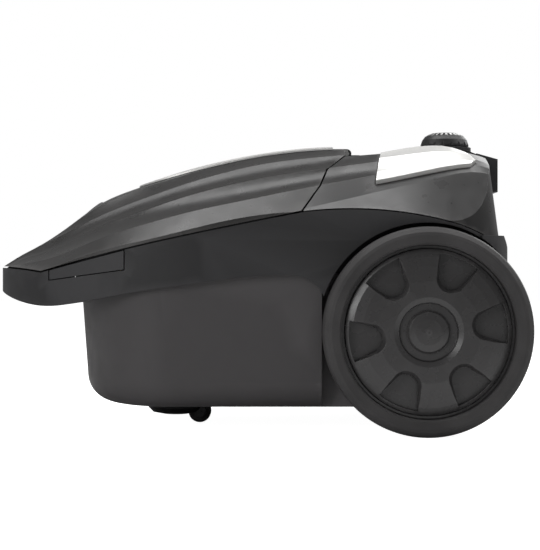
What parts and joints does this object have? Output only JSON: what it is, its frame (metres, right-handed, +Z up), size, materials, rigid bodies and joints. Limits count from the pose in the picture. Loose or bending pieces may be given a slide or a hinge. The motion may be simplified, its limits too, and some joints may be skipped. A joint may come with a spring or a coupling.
{
  "type": "canister vacuum cleaner",
  "caption": "Bagged canister vacuum cleaner body on two large rear wheels and a swivelling front caster, with hinged lid, foot pedals, power knob, cord reel and blower.",
  "frame": {"origin": "on the floor under the middle of the body's box", "axes": "+X towards the rear wheels and rear wall, nose towards -X, +Z up, the machine's own left side towards -Y"},
  "size_m": [0.45, 0.29, 0.2572],
  "materials": {
    "lid_black": "satin gloss",
    "cover_black": "satin gloss",
    "band_black": "fine matt texture",
    "tub_grey": "fine matt texture",
    "silver": "silver lacquer",
    "hub_grey": "satin",
    "tyre_rubber": "matt",
    "black_plastic": "matt",
    "inner_grey": "satin",
    "seal_rubber": "matt",
    "steel": "zinc plated",
    "lamination": "varnished",
    "copper": "enamelled wire",
    "impeller_alloy": "pressed sheet",
    "carbon": "pressed carbon",
    "bag_fabric": "non-woven",
    "bag_card": "pressed card",
    "filter_fabric": "non-woven",
    "board_green": "solder mask"
  },
  "bodies": {
    "chassis": {"lid_hinge_pin": "steel", "rear_cover": "cover_black", "knob_base": "black_plastic", "parking_bracket": "black_plastic", "cord_outlet_bushing": "black_plastic", "pedal_springs": "steel", "chassis_band": "band_black", "lower_tub": "tub_grey", "motor_deck": "inner_grey", "brake_lever_pin": "steel", "release_springs": "steel", "casing_screws": "steel", "axle_stub_left": "steel", "axle_stub_right": "steel", "wheel_clips": "steel", "bulkhead": "inner_grey", "filter_frame": "inner_grey", "pre_motor_filter": "filter_fabric", "bag_collar": "bag_card", "bag_holder": "inner_grey", "dust_bag": "bag_fabric", "fan_cover": "impeller_alloy", "motor_housing": "inner_grey", "motor_stator": "lamination", "field_coils": "copper", "motor_bearings": "steel", "carbon_brushes": "carbon", "motor_mount_front": "seal_rubber", "motor_mount_rear": "seal_rubber", "reel_axle": "steel", "control_board": "board_green", "potentiometer": "black_plastic", "power_switch": "black_plastic", "exhaust_filter": "filter_fabric"},
    "lid": {"lid_shell": "lid_black", "lid_centre_panel": "silver", "lid_seal": "seal_rubber", "hose_port_collar": "black_plastic", "hose_port_seal": "seal_rubber"},
    "wheel_left": {"tyre_left": "tyre_rubber", "wheel_hub_left": "hub_grey", "hub_cap_left": "hub_grey"},
    "wheel_right": {"tyre_right": "tyre_rubber", "wheel_hub_right": "hub_grey", "hub_cap_right": "hub_grey"},
    "caster_swivel": {"caster_fork": "black_plastic", "caster_axle": "steel"},
    "caster_roller": {"caster_wheel": "tyre_rubber"},
    "power_pedal": {"power_pedal": "silver"},
    "rewind_pedal": {"rewind_pedal": "silver"},
    "power_knob": {"power_knob": "black_plastic", "knob_spindle": "steel"},
    "release_tab_left": {"release_tab_left": "band_black"},
    "release_tab_right": {"release_tab_right": "band_black"},
    "exhaust_door": {"exhaust_door": "black_plastic"},
    "rotor": {"motor_rotor": "lamination", "impeller": "impeller_alloy"},
    "reel": {"reel_drum": "inner_grey", "reel_spring": "steel"},
    "brake_lever": {"reel_brake_lever": "inner_grey"}
  },
  "joints": [
    {"name": "lid_hinge", "type": "hinge", "parent": "chassis", "child": "lid", "pos_m": [0.079, 0, 0.236], "axis": [0, 1, 0], "range_deg": [0, 75]},
    {"name": "wheel_left_spin", "type": "hinge", "parent": "chassis", "child": "wheel_left", "pos_m": [0.14, -0.1225, 0.085], "axis": [0, 1, 0], "continuous": true},
    {"name": "wheel_right_spin", "type": "hinge", "parent": "chassis", "child": "wheel_right", "pos_m": [0.14, 0.1225, 0.085], "axis": [0, 1, 0], "continuous": true},
    {"name": "caster_turn", "type": "hinge", "parent": "chassis", "child": "caster_swivel", "pos_m": [-0.071, 0, 0.02], "axis": [0, 0, 1], "continuous": true},
    {"name": "caster_roll", "type": "hinge", "parent": "caster_swivel", "child": "caster_roller", "pos_m": [-0.05, 0, 0.01], "axis": [0, 1, 0], "continuous": true},
    {"name": "power_pedal_push", "type": "slide", "parent": "chassis", "child": "power_pedal", "axis": [0, 0.6428, -0.766], "range_m": [0, 0.004], "stiffness_N_per_m": 1500, "springref_m": -0.004, "deforming": ["pedal_springs"]},
    {"name": "rewind_pedal_push", "type": "slide", "parent": "chassis", "child": "rewind_pedal", "axis": [0, -0.6428, -0.766], "range_m": [0, 0.004], "stiffness_N_per_m": 1500, "springref_m": -0.004},
    {"name": "brake_lever_rock", "type": "hinge", "parent": "chassis", "child": "brake_lever", "pos_m": [0.118, 0.04, 0.165], "axis": [0, 1, 0], "range_deg": [0, 8]},
    {"name": "power_knob_turn", "type": "hinge", "parent": "chassis", "child": "power_knob", "pos_m": [0.1684, 0, 0.25], "axis": [0, 0, 1], "range_deg": [-135, 135]},
    {"name": "release_tab_left_press", "type": "slide", "parent": "chassis", "child": "release_tab_left", "axis": [0, 1, 0], "range_m": [0, 0.003], "stiffness_N_per_m": 800, "springref_m": -0.003, "deforming": ["release_springs"]},
    {"name": "release_tab_right_press", "type": "slide", "parent": "chassis", "child": "release_tab_right", "axis": [0, -1, 0], "range_m": [0, 0.003], "stiffness_N_per_m": 800, "springref_m": -0.003},
    {"name": "exhaust_door_hinge", "type": "hinge", "parent": "chassis", "child": "exhaust_door", "pos_m": [0.1985, 0, 0.1275], "axis": [0, -1, 0], "range_deg": [0, 75]},
    {"name": "motor_spin", "type": "hinge", "parent": "chassis", "child": "rotor", "pos_m": [0.06, -0.032, 0.1], "axis": [1, 0, 0], "continuous": true},
    {"name": "reel_spin", "type": "hinge", "parent": "chassis", "child": "reel", "pos_m": [0.108, 0.055, 0.098], "axis": [0, 1, 0], "continuous": true}
  ],
  "couplings": [
    {"joint": "brake_lever_rock", "follows": "rewind_pedal_push", "rad_per_m": 31.9}
  ]
}
